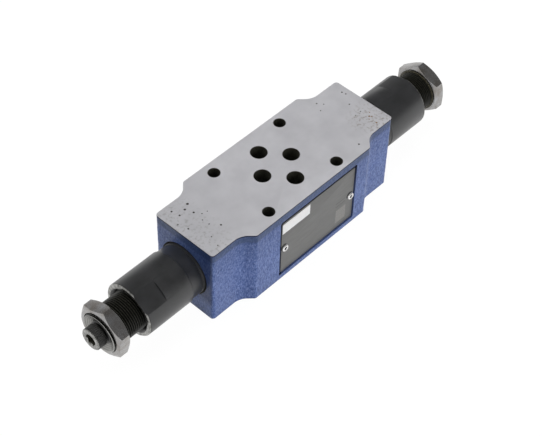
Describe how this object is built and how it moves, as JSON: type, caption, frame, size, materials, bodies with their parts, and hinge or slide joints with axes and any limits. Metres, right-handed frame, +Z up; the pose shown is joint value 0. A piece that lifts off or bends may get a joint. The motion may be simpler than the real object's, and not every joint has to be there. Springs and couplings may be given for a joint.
{
  "type": "hydraulic sandwich valve",
  "caption": "Block valve for a stack on the size 6 port pattern, with a spring relief cartridge and a screw adjuster with lock nut at each end.",
  "frame": {"origin": "centre of the port pattern on the bottom mounting face", "axes": "+Z up to the top mounting face, +X to the B side, +Y to the P port"},
  "size_m": [0.2091, 0.042, 0.04],
  "materials": {
    "blue_cast_iron": "blue paint on a cast block, machined bare above and below",
    "plate_metal": "dull anodised sheet",
    "rivet_metal": "plated",
    "white_label": "matt film",
    "seal_rubber": "moulded",
    "hard_steel": "ground",
    "spring_steel": "drawn wire",
    "turned_steel": "turned",
    "black_steel": "black oxide",
    "black_thread": "black oxide on the thread, bare in the dish",
    "bright_nut": "plain turned steel",
    "nut_plastic": "moulded",
    "black_screw": "black oxide, worn on the end"
  },
  "bodies": {
    "valve": {"valve_body": "blue_cast_iron", "name_plate": "plate_metal", "plate_rivets": "rivet_metal", "data_label": "white_label", "port_seal_p": "seal_rubber", "port_seal_a": "seal_rubber", "port_seal_b": "seal_rubber", "port_seal_t": "seal_rubber", "seat_bush_a": "hard_steel", "seat_seal_a": "seal_rubber", "relief_spring_a": "spring_steel", "sleeve_a": "black_steel", "sleeve_seal_a": "seal_rubber", "end_plug_a": "black_thread", "plug_seal_a": "seal_rubber", "seat_bush_b": "hard_steel", "seat_seal_b": "seal_rubber", "relief_spring_b": "spring_steel", "sleeve_b": "black_steel", "sleeve_seal_b": "seal_rubber", "end_plug_b": "black_thread", "plug_seal_b": "seal_rubber"},
    "poppet_a": {"poppet_a": "hard_steel"},
    "spring_plate_a": {"spring_plate_a": "turned_steel", "plate_seal_a": "seal_rubber"},
    "adjuster_a": {"adjusting_screw_a": "black_screw", "jam_ring_a": "black_screw"},
    "nut_ring_a": {"nut_ring_a": "nut_plastic"},
    "lock_nut_a": {"lock_nut_a": "bright_nut"},
    "poppet_b": {"poppet_b": "hard_steel"},
    "spring_plate_b": {"spring_plate_b": "turned_steel", "plate_seal_b": "seal_rubber"},
    "adjuster_b": {"adjusting_screw_b": "black_screw", "jam_ring_b": "black_screw"},
    "nut_ring_b": {"nut_ring_b": "nut_plastic"},
    "lock_nut_b": {"lock_nut_b": "bright_nut"}
  },
  "joints": [
    {"name": "poppet_lift_a", "type": "slide", "parent": "valve", "child": "poppet_a", "axis": [-1, 0, 0], "range_m": [0, 0.0015], "stiffness_N_per_m": 2000, "springref_m": -0.0005, "deforming": ["relief_spring_a"]},
    {"name": "adjuster_travel_a", "type": "slide", "parent": "valve", "child": "spring_plate_a", "axis": [-1, 0, 0], "range_m": [0, 0.003], "deforming": ["relief_spring_a"]},
    {"name": "adjuster_turn_a", "type": "hinge", "parent": "spring_plate_a", "child": "adjuster_a", "pos_m": [-0.0995, 0, 0.02], "axis": [-1, 0, 0], "range_deg": [0, 1080]},
    {"name": "nut_travel_a", "type": "slide", "parent": "valve", "child": "nut_ring_a", "axis": [-1, 0, 0], "range_m": [-0.009, 0]},
    {"name": "nut_turn_a", "type": "hinge", "parent": "nut_ring_a", "child": "lock_nut_a", "pos_m": [-0.0995, 0, 0.02], "axis": [-1, 0, 0], "range_deg": [-3240, 0]},
    {"name": "poppet_lift_b", "type": "slide", "parent": "valve", "child": "poppet_b", "axis": [1, 0, 0], "range_m": [0, 0.0015], "stiffness_N_per_m": 2000, "springref_m": -0.0005, "deforming": ["relief_spring_b"]},
    {"name": "adjuster_travel_b", "type": "slide", "parent": "valve", "child": "spring_plate_b", "axis": [1, 0, 0], "range_m": [0, 0.003], "deforming": ["relief_spring_b"]},
    {"name": "adjuster_turn_b", "type": "hinge", "parent": "spring_plate_b", "child": "adjuster_b", "pos_m": [0.1005, 0, 0.02], "axis": [1, 0, 0], "range_deg": [0, 1080]},
    {"name": "nut_travel_b", "type": "slide", "parent": "valve", "child": "nut_ring_b", "axis": [1, 0, 0], "range_m": [-0.008, 0]},
    {"name": "nut_turn_b", "type": "hinge", "parent": "nut_ring_b", "child": "lock_nut_b", "pos_m": [0.1005, 0, 0.02], "axis": [1, 0, 0], "range_deg": [-2880, 0]}
  ],
  "couplings": [
    {"joint": "adjuster_turn_a", "follows": "adjuster_travel_a", "rad_per_m": 6283.2},
    {"joint": "nut_travel_a", "follows": "nut_turn_a", "m_per_rad": 0.00015915},
    {"joint": "adjuster_turn_b", "follows": "adjuster_travel_b", "rad_per_m": 6283.2},
    {"joint": "nut_travel_b", "follows": "nut_turn_b", "m_per_rad": 0.00015915}
  ]
}
